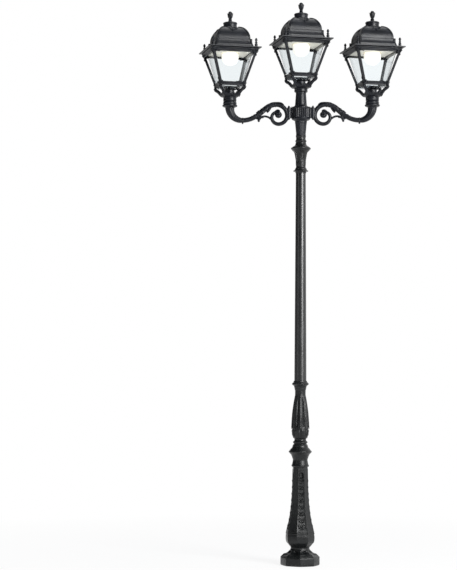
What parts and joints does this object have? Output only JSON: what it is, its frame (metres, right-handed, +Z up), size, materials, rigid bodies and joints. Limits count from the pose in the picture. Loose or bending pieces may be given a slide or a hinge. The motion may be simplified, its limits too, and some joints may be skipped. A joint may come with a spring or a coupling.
{
  "type": "triple head lamp post",
  "caption": "Tall cast street lamp post on a steel mast; its head carries square lanterns, on scroll arms and over the middle, each with a lift-off roof.",
  "frame": {"origin": "on the ground at the middle of the plinth, under the post's axis", "axes": "+Z up along the post, +X along the arms to the right, -Y to the front"},
  "size_m": [1.3156, 0.4116, 3.558],
  "materials": {
    "cast_black": "satin",
    "shaft_black": "satin",
    "galvanised_steel": "matte",
    "stainless": "satin",
    "clear_diffuser": "gloss",
    "white_enamel": "satin",
    "opal_glass": "gloss",
    "holder_ceramic": "satin",
    "terminal_plastic": "matte",
    "gasket_rubber": "matte"
  },
  "bodies": {
    "root": {"mast": "galvanised_steel", "plinth": "cast_black", "pedestal": "cast_black", "knob": "cast_black", "baluster": "cast_black", "lower_collar": "cast_black", "shaft": "shaft_black", "upper_collar": "cast_black", "capital": "cast_black"},
    "head": {"hub": "cast_black", "arm_left": "cast_black", "arm_right": "cast_black", "arm_studs": "stainless"},
    "lantern_left": {"cage_left": "cast_black", "diffuser_left": "clear_diffuser", "gland_cup_left": "cast_black", "leg_bracket_left": "cast_black", "foot_studs_left": "stainless", "grub_screws_left": "stainless", "gasket_left": "gasket_rubber"},
    "roof_left": {"roof_left": "cast_black", "vent_cap_left": "cast_black", "crown_finial_left": "cast_black", "corner_finials_left": "cast_black", "reflector_left": "white_enamel", "lampholder_left": "holder_ceramic", "terminal_block_left": "terminal_plastic"},
    "lamp_left": {"lamp_left": "opal_glass"},
    "lantern_middle": {"cage_middle": "cast_black", "diffuser_middle": "clear_diffuser", "gland_cup_middle": "cast_black", "leg_bracket_middle": "cast_black", "foot_studs_middle": "stainless", "grub_screws_middle": "stainless", "gasket_middle": "gasket_rubber"},
    "roof_middle": {"roof_middle": "cast_black", "vent_cap_middle": "cast_black", "crown_finial_middle": "cast_black", "corner_finials_middle": "cast_black", "reflector_middle": "white_enamel", "lampholder_middle": "holder_ceramic", "terminal_block_middle": "terminal_plastic"},
    "lamp_middle": {"lamp_middle": "opal_glass"},
    "lantern_right": {"cage_right": "cast_black", "diffuser_right": "clear_diffuser", "gland_cup_right": "cast_black", "leg_bracket_right": "cast_black", "foot_studs_right": "stainless", "grub_screws_right": "stainless", "gasket_right": "gasket_rubber"},
    "roof_right": {"roof_right": "cast_black", "vent_cap_right": "cast_black", "crown_finial_right": "cast_black", "corner_finials_right": "cast_black", "reflector_right": "white_enamel", "lampholder_right": "holder_ceramic", "terminal_block_right": "terminal_plastic"},
    "lamp_right": {"lamp_right": "opal_glass"}
  },
  "joints": [
    {"name": "head_turn", "type": "hinge", "parent": "root", "child": "head", "pos_m": [0, 0, 2.703], "axis": [0, 0, 1], "range_deg": [-180, 180]},
    {"name": "lantern_turn_left", "type": "hinge", "parent": "head", "child": "lantern_left", "pos_m": [-0.452, 0, 2.928], "axis": [0, 0, 1], "range_deg": [-180, 180]},
    {"name": "roof_lift_left", "type": "slide", "parent": "lantern_left", "child": "roof_left", "axis": [0, 0, 1], "range_m": [0, 0.16]},
    {"name": "lamp_unscrew_left", "type": "hinge", "parent": "roof_left", "child": "lamp_left", "pos_m": [-0.452, 0, 3.255], "axis": [0, 0, -1], "range_deg": [0, 1260]},
    {"name": "lantern_turn_middle", "type": "hinge", "parent": "head", "child": "lantern_middle", "pos_m": [0, 0, 2.983], "axis": [0, 0, 1], "range_deg": [-180, 180]},
    {"name": "roof_lift_middle", "type": "slide", "parent": "lantern_middle", "child": "roof_middle", "axis": [0, 0, 1], "range_m": [0, 0.16]},
    {"name": "lamp_unscrew_middle", "type": "hinge", "parent": "roof_middle", "child": "lamp_middle", "pos_m": [0, 0, 3.31], "axis": [0, 0, -1], "range_deg": [0, 1260]},
    {"name": "lantern_turn_right", "type": "hinge", "parent": "head", "child": "lantern_right", "pos_m": [0.452, 0, 2.928], "axis": [0, 0, 1], "range_deg": [-180, 180]},
    {"name": "roof_lift_right", "type": "slide", "parent": "lantern_right", "child": "roof_right", "axis": [0, 0, 1], "range_m": [0, 0.16]},
    {"name": "lamp_unscrew_right", "type": "hinge", "parent": "roof_right", "child": "lamp_right", "pos_m": [0.452, 0, 3.255], "axis": [0, 0, -1], "range_deg": [0, 1260]}
  ]
}
